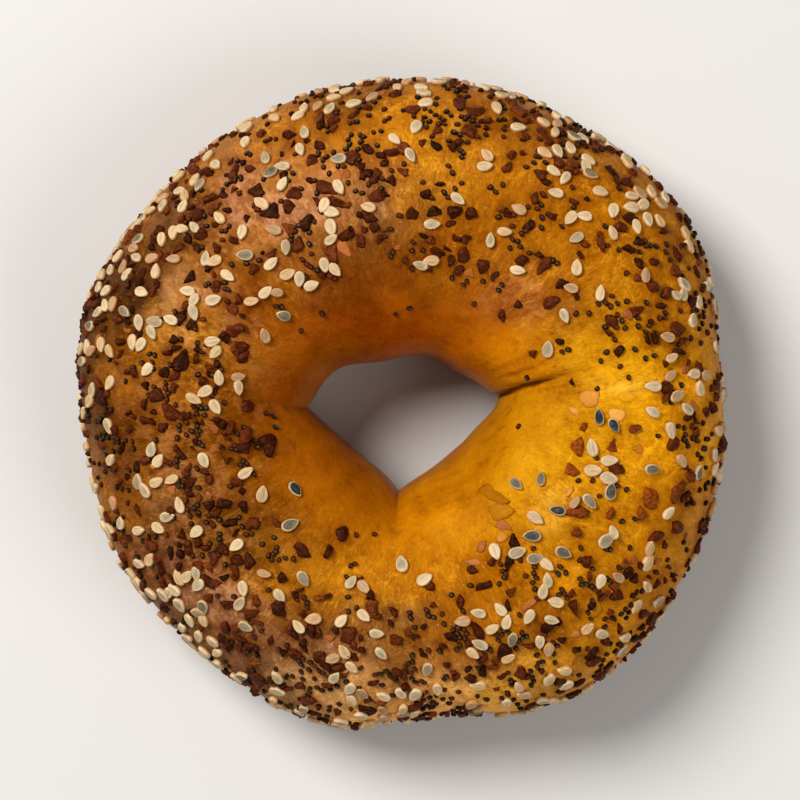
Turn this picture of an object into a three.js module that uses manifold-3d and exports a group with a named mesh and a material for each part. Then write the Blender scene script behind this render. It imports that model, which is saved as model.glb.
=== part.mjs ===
// A ring-shaped bread roll with dried onion flakes and sesame seeds baked onto its crust.
// Millimetres, +Z up. The origin is the middle of the footprint, on the surface that the roll lies on.
// The dough is one closed surface P(around, over): "around" goes round the hole, and "over" goes
// from the wall of the hole across the crown, down the outside and back along the flat base.

import * as THREE from "three";
import { ParametricGeometry } from "three/addons/geometries/ParametricGeometry.js";
import { ConvexGeometry } from "three/addons/geometries/ConvexGeometry.js";
import { mergeVertices } from "three/addons/utils/BufferGeometryUtils.js";
import Module from "manifold-3d";

const { degToRad, lerp, clamp, smoothstep, euclideanModulo, seededRandom } = THREE.MathUtils;
const TURN = 2 * Math.PI;

// Driving dimensions of the dough
const rimRadius = 55; // mean radius of the outside, measured from the middle of the hole
const widestHeight = 15; // height above the base at which the roll is widest
const crownHeight = 35; // mean height of the crown
const holeMiddle = { x: 0.3, y: -2.2 };
const topFullness = 2.12; // superellipse exponents of the section: 2 is an ellipse, more is squarer
const bottomFullness = 2.6;
const baseOverrun = 1.8; // how far the lower half would bulge below the base, which cuts it flat
const aroundSteps = 92;
const overSteps = 22;

// Waves round the ring: how many, height in mm, and where one of them peaks, in degrees
const rimWaves = [
  [1, 1.9, 64],
  [3, 0.8, -55],
  [4, 0.6, -40],
  [5, 0.4, 27],
  [7, 0.3, -4],
  [8, 0.3, -16],
];
const crownWaves = [
  [1, 0.9, 95],
  [2, 0.6, 150],
  [5, 0.5, 20],
];

// Low swellings of the crust: waves round, waves over, share of the half section, start in degrees
const swellings = [
  [3, 2, 0.014, 40],
  [5, -3, 0.01, 110],
  [8, 2, 0.009, 200],
  [11, 5, 0.006, 300],
];

// The hole seen from above: each row is a corner or a joint of the outline and the two handles after it
const holeOutline = [
  [16.7, 1.0, 13.3, 2.9, 10.5, 4.4],
  [6.8, 6.6, 3.4, 8.5, 0.8, 7.1],
  [-2.6, 6.6, -6.8, 6.0, -10.2, 6.5],
  [-12.8, 3.4, -14.3, 1.5, -15.0, -0.3],
  [-15.8, -1.2, -11.0, -5.4, -8.5, -7.8],
  [-4.8, -10.7, -2.4, -12.6, -1.4, -13.9],
  [-0.3, -15.6, 3.4, -12.6, 7.6, -10.5],
  [11.9, -5.8, 14.6, -2.9, 17.0, -1.7],
];
const cornerSoftening = 26; // degrees to each side over which the corners are rounded off on the crown

// Hollows that run out from the corners of the hole: direction, turn on the way out, depth, width, reach
const hollows = [
  { at: 10, turn: 8, depth: 1.1, width: 5, reach: 0.75 },
  { at: 176, turn: -22, depth: 1.3, width: 6, reach: 0.85 },
  { at: 268, turn: -30, depth: 1.2, width: 6, reach: 0.8 },
];
// The seam where the ends of the roll were pressed together
const seam = { at: 11.5, turn: 3.5, depth: 1.1, width: 0.9, reach: 0.42 };

// Toppings
const lowestTopping = 1.22 * Math.PI; // "over" at which they stop, about 3 mm above the base
const onion = { seed: 11, wanted: 820, fused: 84, largest: 4.4, smallest: 1, thickness: 1.5 };
const sesame = { seed: 23, wanted: 620, fused: 84, largest: 3.15, smallest: 2.55, thickness: 1.4 };
const patchiness = 0.7; // how uneven the cover is from place to place
const closeness = 0.66; // share of the two mean radii that must lie between two toppings

// Cover from the bare wall of the hole (0) to the rim (1) and on down the side (1.5)
const onionCover = [
  [0.2, 0],
  [0.34, 0.6],
  [0.55, 1],
  [0.8, 0.95],
  [1, 0.5],
  [1.5, 0.3],
];
const sesameCover = [
  [0.2, 0],
  [0.34, 0.6],
  [0.55, 1],
  [0.8, 0.95],
  [1, 0.6],
  [1.5, 0.3],
];
// Places that have more or less than that: middle, radius, and the factor for onion and for sesame
const patches = [
  { x: 12, y: -17, radius: 12, onion: 0.04, sesame: 0.03 },
  { x: 34, y: 5, radius: 9, onion: 0.12, sesame: 0.15 },
  { x: -17, y: -17, radius: 7, onion: 0.3, sesame: 0.05 },
  { x: 13, y: 36, radius: 8, onion: 0.15, sesame: 0.35 },
  { x: 0, y: 45, radius: 6, onion: 0.4, sesame: 0.4 },
  { x: 17, y: 44, radius: 5, onion: 2, sesame: 1 },
  { x: 34, y: 34, radius: 6, onion: 0.4, sesame: 4 },
  { x: 27, y: 26, radius: 6, onion: 0.3, sesame: 1.2 },
  { x: -46, y: 19, radius: 9, onion: 2.6, sesame: 2.6 },
  { x: -34, y: 16, radius: 6, onion: 0.4, sesame: 3 },
  { x: -40, y: 32, radius: 8, onion: 0.8, sesame: 2.6 },
  { x: -30, y: 26, radius: 8, onion: 2.6, sesame: 1 },
  { x: -26, y: 34, radius: 6, onion: 0.7, sesame: 2.5 },
  { x: -17, y: 17, radius: 6, onion: 1, sesame: 2.5 },
  { x: -38, y: -1, radius: 8, onion: 4, sesame: 0.8 },
  { x: -27, y: 1, radius: 5, onion: 1, sesame: 4 },
  { x: -51, y: -10, radius: 9, onion: 0.35, sesame: 0.4 },
  { x: -26, y: -17, radius: 6, onion: 3, sesame: 0.4 },
  { x: -35, y: -26, radius: 8, onion: 3, sesame: 2 },
  { x: -21, y: -41, radius: 10, onion: 3.2, sesame: 1 },
  { x: -36, y: -40, radius: 7, onion: 0.5, sesame: 3.5 },
  { x: -26, y: -52, radius: 6, onion: 0.3, sesame: 2 },
  { x: -8, y: -51, radius: 8, onion: 0.9, sesame: 3 },
  { x: 8, y: -44, radius: 10, onion: 1.6, sesame: 0.8 },
  { x: -12, y: -34, radius: 7, onion: 1, sesame: 0.15 },
  { x: 17, y: -34, radius: 6, onion: 0.4, sesame: 1.5 },
  { x: 28, y: -37, radius: 7, onion: 1, sesame: 0.25 },
  { x: 26, y: -43, radius: 5, onion: 1, sesame: 3 },
  { x: 17, y: -51, radius: 7, onion: 0.3, sesame: 2.6 },
  { x: 42, y: -33, radius: 6, onion: 1.4, sesame: 3 },
  { x: 33, y: -12, radius: 6, onion: 2.2, sesame: 1.6 },
  { x: 29, y: 43, radius: 10, onion: 1.2, sesame: 1.5 },
  { x: 50, y: 12, radius: 8, onion: 0.6, sesame: 1 },
  { x: -8, y: 50, radius: 8, onion: 1.5, sesame: 1.6 },
  { x: 9, y: 25, radius: 8, onion: 1.6, sesame: 0.8 },
  { x: -9, y: 34, radius: 7, onion: 1.7, sesame: 1 },
  { x: 25, y: 13, radius: 6, onion: 1, sesame: 0.3 },
];

const waves = (rows, around) =>
  rows.reduce((sum, [count, height, peak]) => sum + height * Math.cos(count * (around - degToRad(peak))), 0);

// Value at x of the line through [x, value] rows, level beyond its ends
function along(rows, x) {
  const next = rows.findIndex(([at]) => at > x);
  if (next === 0) return rows[0][1];
  if (next < 0) return rows.at(-1)[1];
  const [x0, v0] = rows[next - 1];
  const [x1, v1] = rows[next];
  return lerp(v0, v1, (x - x0) / (x1 - x0));
}

// Distance from the middle of the hole to its outline for every degree: sharp, and with rounded corners
function holeRadii() {
  const polar = [];
  holeOutline.forEach(([x, y, hx, hy, kx, ky], i) => {
    const [nx, ny] = holeOutline[(i + 1) % holeOutline.length];
    const piece = new THREE.CubicBezierCurve(
      new THREE.Vector2(x, y),
      new THREE.Vector2(hx, hy),
      new THREE.Vector2(kx, ky),
      new THREE.Vector2(nx, ny),
    );
    for (const point of piece.getPoints(60)) {
      const dx = point.x - holeMiddle.x;
      const dy = point.y - holeMiddle.y;
      polar.push([euclideanModulo(Math.atan2(dy, dx), TURN), Math.hypot(dx, dy)]);
    }
  });
  polar.sort((a, b) => a[0] - b[0]);
  const first = polar[0];
  const last = polar.at(-1);
  const closed = [[last[0] - TURN, last[1]], ...polar, [first[0] + TURN, first[1]]];
  const sharp = Array.from({ length: 360 }, (_, degree) => along(closed, degToRad(degree)));
  const soft = sharp.map((_, degree) => {
    let total = 0;
    let weights = 0;
    for (let step = -cornerSoftening; step <= cornerSoftening; step++) {
      const weight = Math.cos((step / cornerSoftening) * (Math.PI / 2));
      total += weight * sharp[euclideanModulo(degree + step, 360)];
      weights += weight;
    }
    return total / weights;
  });
  return { sharp, soft };
}
const hole = holeRadii();

function readDegrees(table, around) {
  const degrees = euclideanModulo((around * 360) / TURN, 360);
  const low = Math.floor(degrees);
  return lerp(table[low % 360], table[(low + 1) % 360], degrees - low);
}

const power = (value, exponent) => Math.sign(value) * Math.abs(value) ** exponent;

// How deep a hollow or the seam is at a direction and a share of the way across the ring
function groove({ at, turn, depth, width, reach }, around, across, radius) {
  const middle = degToRad(at + (turn * across) / reach);
  const off = radius * Math.sin(around - middle);
  if (Math.cos(around - middle) < 0) return 0;
  return depth * Math.exp(-((off / width) ** 2)) * (1 - smoothstep(across, 0.3 * reach, reach));
}

// The dough's surface, and in place.across how far the point is from the hole (0) to the rim (1)
function doughPoint(around, over, place) {
  const up = Math.sin(over);
  const top = up >= 0;
  const fullness = 2 / (top ? topFullness : bottomFullness);
  const outwards = power(-Math.cos(over), fullness);
  const rise = power(up, fullness);
  const swell =
    1 +
    swellings.reduce(
      (sum, [round, across, share, start]) =>
        sum + share * Math.sin(round * around + across * over + degToRad(start)),
      0,
    );
  const sharpness = Math.max(0, Math.cos(over)) ** 1.2;
  const inner = lerp(readDegrees(hole.soft, around), readDegrees(hole.sharp, around), sharpness);
  const outer = rimRadius + waves(rimWaves, around);
  const halfWidth = (outer - inner) / 2;
  const held = lerp(swell, 1, sharpness); // the outline of the hole isn't swollen
  const radius = inner + halfWidth + outwards * halfWidth * held;
  const across = (1 + outwards) / 2;
  let z;
  if (top) {
    const crown = crownHeight + waves(crownWaves, around);
    const dents = [...hollows, seam].reduce((sum, row) => sum + groove(row, around, across, radius), 0);
    z = widestHeight + rise * (crown - widestHeight) * swell - dents * rise;
  } else {
    z = Math.max(0, widestHeight + rise * (widestHeight + baseOverrun));
  }
  place.set(holeMiddle.x + radius * Math.cos(around), holeMiddle.y + radius * Math.sin(around), z);
  return across;
}

// A frame on the dough: the point, its outward normal, the direction over the section, and the area there
function doughFrame(around, over) {
  const step = 0.01;
  const [point, ahead, behind, left, right] = Array.from({ length: 5 }, () => new THREE.Vector3());
  const across = doughPoint(around, over, point);
  doughPoint(around, over + step, ahead);
  doughPoint(around, over - step, behind);
  doughPoint(around + step, over, left);
  doughPoint(around - step, over, right);
  const overwards = ahead.sub(behind);
  const roundwards = left.sub(right);
  const normal = new THREE.Vector3().crossVectors(overwards, roundwards);
  const area = normal.length() / (2 * step) ** 2;
  return { point, normal: normal.normalize(), overwards: overwards.normalize(), across, area };
}

// From -1, where few toppings fell, to 1, in spots some 10 mm apart
function unevenness({ x, y }) {
  const bentX = 0.62 * x + 1.3 * Math.sin(0.31 * y);
  const bentY = 0.57 * y + 1.1 * Math.sin(0.37 * x + 2);
  return Math.sin(bentX) * Math.sin(bentY);
}

// Toppings laid down at random, in order: denser where the cover says so, and none on top of another
const largestArea = 1500; // mm2 per square radian, near the rim
function scatter(kind, name, coverRows, laid) {
  const rows = [];
  seededRandom(kind.seed);
  while (rows.length < kind.wanted) {
    const [roundDraw, overDraw, keepDraw, spin, sizeDraw, shade] = Array.from({ length: 6 }, () => seededRandom());
    const around = TURN * roundDraw;
    const over = lowestTopping * overDraw;
    const frame = doughFrame(around, over);
    const down = (0.5 * Math.max(0, over - Math.PI)) / (lowestTopping - Math.PI);
    const patch = patches.reduce((factor, zone) => {
      const away = Math.hypot(frame.point.x - zone.x, frame.point.y - zone.y) / zone.radius;
      return factor * (1 + (zone[name] - 1) * Math.exp(-(away ** 2)));
    }, 1);
    const even = along(coverRows, down > 0 ? 1 + down : frame.across);
    const density = 0.5 * even * patch * (1 + patchiness * unevenness(frame.point));
    if (keepDraw > (density * frame.area) / largestArea) continue;
    // The largest come first
    const share = rows.length / kind.wanted;
    const length = lerp(kind.largest, kind.smallest, clamp(0.7 * Math.sqrt(share) + 0.3 * sizeDraw, 0, 1));
    const radius = 0.4 * length;
    const clear = laid.every((other) => frame.point.distanceTo(other.point) > closeness * (radius + other.radius));
    if (!clear) continue;
    const topping = { ...frame, name, length, radius, spin: TURN * spin, shade };
    rows.push(topping);
    laid.push(topping);
  }
  return rows;
}

const wasm = await Module();
wasm.setup();

function solidFrom(geometry) {
  const bare = new THREE.BufferGeometry().setAttribute("position", geometry.getAttribute("position"));
  if (geometry.index) bare.setIndex(geometry.index);
  const merged = mergeVertices(bare, 1e-4);
  return new wasm.Manifold(
    new wasm.Mesh({
      numProp: 3,
      vertProperties: new Float32Array(merged.attributes.position.array),
      triVerts: new Uint32Array(merged.index.array),
    }),
  );
}

function doughSolid() {
  const shape = (u, v, target) => doughPoint(TURN * v, TURN * u, target);
  return solidFrom(new ParametricGeometry(shape, overSteps, aroundSteps));
}

// A tear-shaped seed lying along X, wider at one end, its middle at the origin
function sesameGeometry(topping) {
  const seed = new THREE.SphereGeometry(0.5, 6, 3).rotateZ(Math.PI / 2);
  const width = 0.64 * topping.length;
  const place = seed.getAttribute("position");
  for (let i = 0; i < place.count; i++) {
    const x = place.getX(i);
    const taper = 1 - 0.55 * x;
    place.setXYZ(i, x * topping.length, place.getY(i) * width * taper, place.getZ(i) * sesame.thickness);
  }
  return seed;
}

// A chip of dried onion: an uneven outline, with a smaller one above it
function onionGeometry(topping) {
  const corners = 6;
  const points = [];
  for (let i = 0; i < corners; i++) {
    const angle = (TURN * i) / corners;
    const uneven = 1 + 0.28 * Math.sin(5 * angle + 40 * topping.shade) + 0.16 * Math.cos(2 * angle + 9 * topping.shade);
    const x = 0.48 * topping.length * uneven * Math.cos(angle);
    const y = 0.36 * topping.length * uneven * Math.sin(angle);
    points.push(new THREE.Vector3(x, y, -0.5 * onion.thickness));
    points.push(new THREE.Vector3(0.7 * x, 0.7 * y, 0.5 * onion.thickness * (0.8 + 0.4 * Math.sin(angle))));
  }
  return new ConvexGeometry(points);
}

function layOn(topping, geometry) {
  const sideways = new THREE.Vector3().crossVectors(topping.normal, topping.overwards);
  const axes = new THREE.Matrix4().makeBasis(topping.overwards, sideways, topping.normal);
  axes.setPosition(topping.point);
  return geometry.applyMatrix4(new THREE.Matrix4().makeRotationZ(topping.spin)).applyMatrix4(axes);
}

function bagelSolid() {
  const laid = [];
  const flakes = scatter(onion, "onion", onionCover, laid).slice(0, onion.fused);
  const seeds = scatter(sesame, "sesame", sesameCover, laid).slice(0, sesame.fused);
  let solid = doughSolid();
  for (const flake of flakes) solid = solid.add(solidFrom(layOn(flake, onionGeometry(flake))));
  for (const seed of seeds) solid = solid.add(solidFrom(layOn(seed, sesameGeometry(seed))));
  return solid;
}

function geometryFrom(solid) {
  const { vertProperties, triVerts } = solid.getMesh();
  const geometry = new THREE.BufferGeometry();
  geometry.setAttribute("position", new THREE.BufferAttribute(vertProperties, 3));
  geometry.setIndex(new THREE.BufferAttribute(triVerts, 1));
  geometry.computeVertexNormals();
  return geometry;
}

const crust = new THREE.MeshStandardMaterial({ color: 0xc87d14, roughness: 0.38, metalness: 0 });
const bagel = new THREE.Mesh(geometryFrom(bagelSolid()), crust);
bagel.name = "bagel";

const roll = new THREE.Group();
roll.add(bagel);

export default roll;
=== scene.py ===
# A seeded bagel: a glossy baked crust with sesame seeds, poppy seeds, onion flakes and garlic bits.
# Lengths in the dictionaries are millimetres, directions degrees. Finished pieces are in metres, +Z up.

import bpy
import numpy as np
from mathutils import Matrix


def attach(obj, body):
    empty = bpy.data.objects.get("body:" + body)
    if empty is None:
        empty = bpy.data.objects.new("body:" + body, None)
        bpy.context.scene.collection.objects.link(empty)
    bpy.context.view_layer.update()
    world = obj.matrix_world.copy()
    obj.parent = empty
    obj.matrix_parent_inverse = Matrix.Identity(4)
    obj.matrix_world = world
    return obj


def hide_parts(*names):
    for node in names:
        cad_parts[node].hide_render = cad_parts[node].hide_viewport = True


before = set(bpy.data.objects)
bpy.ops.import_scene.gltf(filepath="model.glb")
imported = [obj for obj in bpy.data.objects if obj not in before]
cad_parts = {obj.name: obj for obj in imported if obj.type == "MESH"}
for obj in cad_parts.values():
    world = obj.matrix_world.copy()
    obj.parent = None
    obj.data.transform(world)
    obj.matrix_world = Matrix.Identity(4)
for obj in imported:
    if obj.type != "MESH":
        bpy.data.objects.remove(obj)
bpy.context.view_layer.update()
scene = bpy.context.scene
turn = 2 * np.pi
metresPerMm = 0.001
print("frame loaded")


def addObject(name, data):
    # Puts a new object with that data into the scene
    made = bpy.data.objects.new(name, data)
    scene.collection.objects.link(made)
    return made


# Camera and light

photo = {
    "pixels": 800,  # width and height of the picture
    "pixelMm": 0.17,  # size of one pixel at the widest part of the bagel
    "lensMm": 150,
    "sensorMm": 36,
    "widestMm": 15,  # height of the widest part over the floor
}


def cameraDistance():
    # From the lens to the widest part of the bagel, in mm
    return photo["pixels"] * photo["pixelMm"] * photo["lensMm"] / photo["sensorMm"]


def addCamera():
    # Straight above the middle of the floor
    data = bpy.data.cameras.new("photoCamera")
    data.lens = photo["lensMm"]
    data.sensor_width = photo["sensorMm"]
    camera = addObject("photoCamera", data)
    camera.location = (0, 0, (cameraDistance() + photo["widestMm"]) * metresPerMm)
    scene.camera = camera


studio = {
    "softboxes": (  # place in metres, size, watts, colour
        ((-0.5, 0.42, 0.85), 0.5, 11.5, (1, 0.97, 0.93)),
        ((0.6, -0.4, 0.7), 0.7, 3.6, (1, 0.98, 0.95)),
    ),
    "sky": (0.95, 0.97, 1),
    "skyStrength": 0.2,
    "look": "Medium High Contrast",
    "floorColour": (0.62, 0.61, 0.6),
    "floorSize": 3,
}


def addStudio():
    # Round soft lights, turned to face the middle of the floor, and a weak, even sky
    for place, size, watts, colour in studio["softboxes"]:
        data = bpy.data.lights.new("softbox", "AREA")
        data.shape = "DISK"
        data.size = size
        data.energy = watts
        data.color = colour
        box = addObject("softbox", data)
        box.location = place
        x, y, z = place
        box.rotation_euler = (np.arctan2(np.hypot(x, y), z), 0, np.arctan2(-y, -x) - np.pi / 2)
    world = bpy.data.worlds.new("studio")
    world.use_nodes = True
    sky = world.node_tree.nodes["Background"]
    sky.inputs["Color"].default_value = (*studio["sky"], 1)
    sky.inputs["Strength"].default_value = studio["skyStrength"]
    scene.world = world
    scene.view_settings.view_transform = "Standard"
    scene.view_settings.look = studio["look"]


# Meshes from arrays

def closedGrid(rows, columns):
    # Faces of a grid that closes on itself both ways: corner (i, j) is joined to (i + 1, j + 1)
    i, j = np.meshgrid(np.arange(rows), np.arange(columns), indexing="ij")
    below, right = (i + 1) % rows, (j + 1) % columns
    corners = [row * columns + column for row, column in ((i, j), (below, j), (below, right), (i, right))]
    return np.stack(corners, axis=-1).reshape(-1, 4)


# How an attribute with one, three or four numbers for each point is kept
attributeKinds = {1: ("FLOAT", "value"), 3: ("FLOAT_VECTOR", "vector"), 4: ("FLOAT_COLOR", "color")}


def pieceFromArrays(name, points, faceGroups, attributes):
    # Points in millimetres; each face group is an array of faces with the same number of corners
    mesh = bpy.data.meshes.new(name)
    faces = [face for group in faceGroups for face in group.tolist()]
    mesh.from_pydata((points * metresPerMm).tolist(), [], faces, shade_flat=False)
    mesh.validate()
    for label, values in attributes.items():
        kind, field = attributeKinds[values.size // len(points)]
        made = mesh.attributes.new(label, kind, "POINT")
        made.data.foreach_set(field, values.astype(np.float32).ravel())
    return addObject(name, mesh)


# Noise as arrays

fullWord = 0xFFFFFFFF  # keeps a whole number to 32 bits


def latticeValue(i, j, k, seed):
    # A repeatable random number from -1 to 1 for each corner of a cubic lattice, from a usual integer hash
    mixed = ((i * 73856093) ^ (j * 19349663) ^ (k * 83492791) ^ (seed * 2654435761)) & fullWord
    mixed = ((mixed ^ (mixed >> 15)) * 2246822519) & fullWord
    mixed = ((mixed ^ (mixed >> 13)) * 3266489917) & fullWord
    return (mixed ^ (mixed >> 16)) / 2 ** 31 - 1


def noise(points, size, seed):
    # Value noise: the lattice's random numbers, blended by a smooth step along each axis
    place = points / size
    cell = np.floor(place).astype(np.int64)
    part = place - cell
    part = part * part * (3 - 2 * part)
    total = 0
    for corner in range(8):
        step = np.array([corner & 1, corner >> 1 & 1, corner >> 2 & 1])
        weight = np.prod(np.where(step == 1, part, 1 - part), axis=-1)
        i, j, k = np.moveaxis(cell + step, -1, 0)
        total = total + weight * latticeValue(i, j, k, seed)
    return total


def layeredNoise(points, size, layers, seed):
    # Noise at a size, plus half as much at half the size, and so on
    return sum(noise(points, size / 2 ** n, seed + n) / 2 ** n for n in range(layers))


def smoothStep(x, low, high):
    # 0 below low, 1 above high, smooth between
    part = np.clip((x - low) / (high - low), 0, 1)
    return part * part * (3 - 2 * part)


# The dough's surface, as in the solid

dough = {
    "rimRadius": 55,
    "widestHeight": 15,
    "crownHeight": 35,
    "holeMiddle": (0.3, -2.2),
    "topFullness": 2.12,
    "bottomFullness": 2.6,
    "baseOverrun": 1.8,  # how far below the floor the section would reach, which makes the underside flat
    # waves round the ring: how many, height, direction of a peak
    "rimWaves": ((1, 1.9, 64), (3, 0.8, -55), (4, 0.6, -40), (5, 0.4, 27), (7, 0.3, -4), (8, 0.3, -16)),
    "crownWaves": ((1, 0.9, 95), (2, 0.6, 150), (5, 0.5, 20)),
    # waves round, waves over, share of the half section, start
    "swellings": ((3, 2, 0.014, 40), (5, -3, 0.01, 110), (8, 2, 0.009, 200), (11, 5, 0.006, 300)),
    # the hole from above: a joint of the outline and the two handles after it
    "holeOutline": (
        (16.7, 1, 13.3, 2.9, 10.5, 4.4),
        (6.8, 6.6, 3.4, 8.5, 0.8, 7.1),
        (-2.6, 6.6, -6.8, 6, -10.2, 6.5),
        (-12.8, 3.4, -14.3, 1.5, -15, -0.3),
        (-15.8, -1.2, -11, -5.4, -8.5, -7.8),
        (-4.8, -10.7, -2.4, -12.6, -1.4, -13.9),
        (-0.3, -15.6, 3.4, -12.6, 7.6, -10.5),
        (11.9, -5.8, 14.6, -2.9, 17, -1.7),
    ),
    "curveSteps": 61,  # points along each joint of the outline
    "cornerSoftening": 26,  # degrees over which the hole's corners are rounded, away from its narrowest part
    "cornerFade": 1.2,  # power of cos(over) by which they get rounder away from it
    # direction, turn on the way out, depth, width, reach
    "hollows": ((10, 8, 1.1, 5, 0.75), (176, -22, 1.3, 6, 0.85), (268, -30, 1.2, 6, 0.8)),
    "grooveFade": 0.3,  # share of its reach from which a hollow or the seam gets shallower
    "seam": (11.5, 3.5, 1.1, 0.9, 0.42),
}


def waves(rows, around):
    # Sum of height * cos(count * (around - peak))
    return sum(height * np.cos(count * (around - np.radians(peak))) for count, height, peak in rows)


def holeRadii():
    # Distance from the middle of the hole to its outline for each degree, sharp and with rounded corners
    handles = np.array(dough["holeOutline"]).reshape(-1, 3, 2)
    ends = np.roll(handles[:, 0], -1, axis=0)
    t = np.linspace(0, 1, dough["curveSteps"])[None, :, None]
    back = 1 - t
    start, first, second, end = (p[:, None, :] for p in (handles[:, 0], handles[:, 1], handles[:, 2], ends))
    outline = back ** 3 * start + 3 * back ** 2 * t * first + 3 * back * t ** 2 * second + t ** 3 * end
    offset = outline.reshape(-1, 2) - dough["holeMiddle"]
    angle = np.arctan2(offset[:, 1], offset[:, 0]) % turn
    radius = np.hypot(offset[:, 0], offset[:, 1])
    order = np.argsort(angle, kind="stable")
    sharp = np.interp(np.radians(np.arange(360)), angle[order], radius[order], period=turn)
    steps = np.arange(-dough["cornerSoftening"], dough["cornerSoftening"] + 1)
    weights = np.cos(steps / dough["cornerSoftening"] * np.pi / 2)
    soft = sum(w * np.roll(sharp, -s) for w, s in zip(weights, steps)) / weights.sum()
    return np.append(sharp, sharp[0]), np.append(soft, soft[0])


holeSharp, holeSoft = holeRadii()


def readDegrees(table, around):
    # A table's value at an angle, straight between whole degrees
    return np.interp(np.degrees(around) % 360, np.arange(361), table)


def power(value, exponent):
    # A power that keeps the sign
    return np.sign(value) * np.abs(value) ** exponent


def groove(row, around, across, radius):
    # A bell-shaped trench along a line that turns on its way out, fading towards its reach
    at, bend, depth, width, reach = row
    away = around - np.radians(at + bend * across / reach)
    trench = depth * np.exp(-((radius * np.sin(away) / width) ** 2))
    fade = 1 - smoothStep(across, dough["grooveFade"] * reach, reach)
    return np.where(np.cos(away) < 0, 0, trench * fade)


def doughPoint(around, over):
    # A superellipse section carried round the hole, flat below; also the share across the ring
    rise = np.sin(over)
    top = rise >= 0
    fullness = 2 / np.where(top, dough["topFullness"], dough["bottomFullness"])
    outwards = power(-np.cos(over), fullness)
    rise = power(rise, fullness)
    swell = 1 + sum(
        share * np.sin(wavesRound * around + wavesOver * over + np.radians(start))
        for wavesRound, wavesOver, share, start in dough["swellings"])
    sharpness = np.maximum(0, np.cos(over)) ** dough["cornerFade"]
    soft, sharp = readDegrees(holeSoft, around), readDegrees(holeSharp, around)
    inner = soft + (sharp - soft) * sharpness
    outer = dough["rimRadius"] + waves(dough["rimWaves"], around)
    halfWidth = (outer - inner) / 2
    radius = inner + halfWidth + outwards * halfWidth * (swell + (1 - swell) * sharpness)
    across = (1 + outwards) / 2
    crown = dough["crownHeight"] + waves(dough["crownWaves"], around)
    dents = sum(groove(row, around, across, radius) for row in (*dough["hollows"], dough["seam"]))
    widest = dough["widestHeight"]
    upper = widest + rise * (crown - widest) * swell - dents * rise
    lower = np.maximum(0, widest + rise * (widest + dough["baseOverrun"]))
    x = dough["holeMiddle"][0] + radius * np.cos(around)
    y = dough["holeMiddle"][1] + radius * np.sin(around)
    return np.stack([x, y, np.where(top, upper, lower)], axis=-1), across


def unit(vectors):
    # Each vector at length 1
    return vectors / np.maximum(np.linalg.norm(vectors, axis=-1, keepdims=True), 1e-12)


def doughFrame(around, over):
    # The point, its outward normal, the direction over the section, the share across and the area there
    step = 0.01
    point, across = doughPoint(around, over)
    overwards = doughPoint(around, over + step)[0] - doughPoint(around, over - step)[0]
    roundwards = doughPoint(around + step, over)[0] - doughPoint(around - step, over)[0]
    normal = np.cross(overwards, roundwards)
    area = np.linalg.norm(normal, axis=-1) / (2 * step) ** 2
    return point, unit(normal), unit(overwards), across, area


# Fine relief of the crust

relief = {
    "lumps": (9, 0.28),  # size and height of each kind
    "blisters": (2.6, 0.11),
    "grain": (0.9, 0.05),
    "wrinkles": (1.1, 0.05),  # creases that run over the section
    "wrinkleSpread": (40, 8),  # how long the ring and the section count as, in mm, for them
    "tautWall": (0.12, 0.34),  # shares across the ring between which the taut crust round the hole ends
    "tautness": 0.75,
    "flatSide": (0, 1.5),  # heights between which the smoother underside ends
    "flatness": 0.75,
    "ringWidth": 38,  # how wide the ring counts as for the seam
    "seamWander": (1.6, 13, 0.6),  # how far, how fast and from where the seam winds
    "seamFade": (0.12, 0.47),
    "seamLip": (0.75, 3),  # how far the upper side of the seam stands over the lower, and how wide
    "seamCut": (0.9, 0.15, 0.45),  # depth, place below the lip, width
    "puckers": (0.22, 70, 3, 4.5),  # height, how many in a turn, slant, how far from the seam
}


def seamOffset(around, across):
    # Signed distance across the seam in mm, positive on its upper side, and its strength
    at, bend, _, _, reach = dough["seam"]
    line = np.radians(at + bend * across / reach)
    far, fast, start = relief["seamWander"]
    wander = far * np.sin(fast * across + start) * across
    away = (readDegrees(holeSharp, around) + relief["ringWidth"] * across) * np.sin(around - line) - wander
    strength = np.where(np.cos(around - line) < 0, 0, 1 - smoothStep(across, *relief["seamFade"]))
    return away, strength


def crustRelief(point, around, over, across):
    # Layers of noise, weaker on the hole's taut wall and underneath, and the seam's lip, cut and puckers
    rough = 1 - relief["tautness"] * (1 - smoothStep(across, *relief["tautWall"]))
    ring, section = relief["wrinkleSpread"]
    stretched = np.stack([ring * np.cos(around), ring * np.sin(around), section * over], axis=-1)
    bumps = 0
    for kind, place, layers, seed in (
            ("lumps", point, 2, 5), ("blisters", point, 2, 9),
            ("grain", point, 1, 12), ("wrinkles", stretched, 2, 21)):
        size, height = relief[kind]
        share = 1 if kind == "lumps" else rough
        bumps = bumps + height * layeredNoise(place, size, layers, seed) * share
    away, strength = seamOffset(around, across)
    height, width = relief["seamLip"]
    lip = height * np.exp(-np.maximum(away, 0) / width) * (away > 0)
    depth, below, width = relief["seamCut"]
    cut = depth * np.exp(-((away + below) / width) ** 2)
    height, count, slant, reach = relief["puckers"]
    pucker = height * np.sin(around * count + slant * across) * np.exp(-(away / reach) ** 2)
    seam = strength * (lip - cut + pucker * smoothStep(across, 0.05, 0.15))
    onTop = smoothStep(np.sin(over), -0.1, 0.25)
    raised = 1 - relief["flatness"] * (1 - smoothStep(point[..., 2], *relief["flatSide"]))
    return bumps * raised + seam * onTop


def crustFrame(around, over):
    # The dough's frame with its point moved out by the relief
    point, normal, overwards, across, _ = doughFrame(around, over)
    lift = crustRelief(point, around, over, across)
    moved = point + normal * lift[..., None]
    moved[..., 2] = np.maximum(moved[..., 2], 0)
    return moved, normal, overwards, across


# Crust colours

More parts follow.
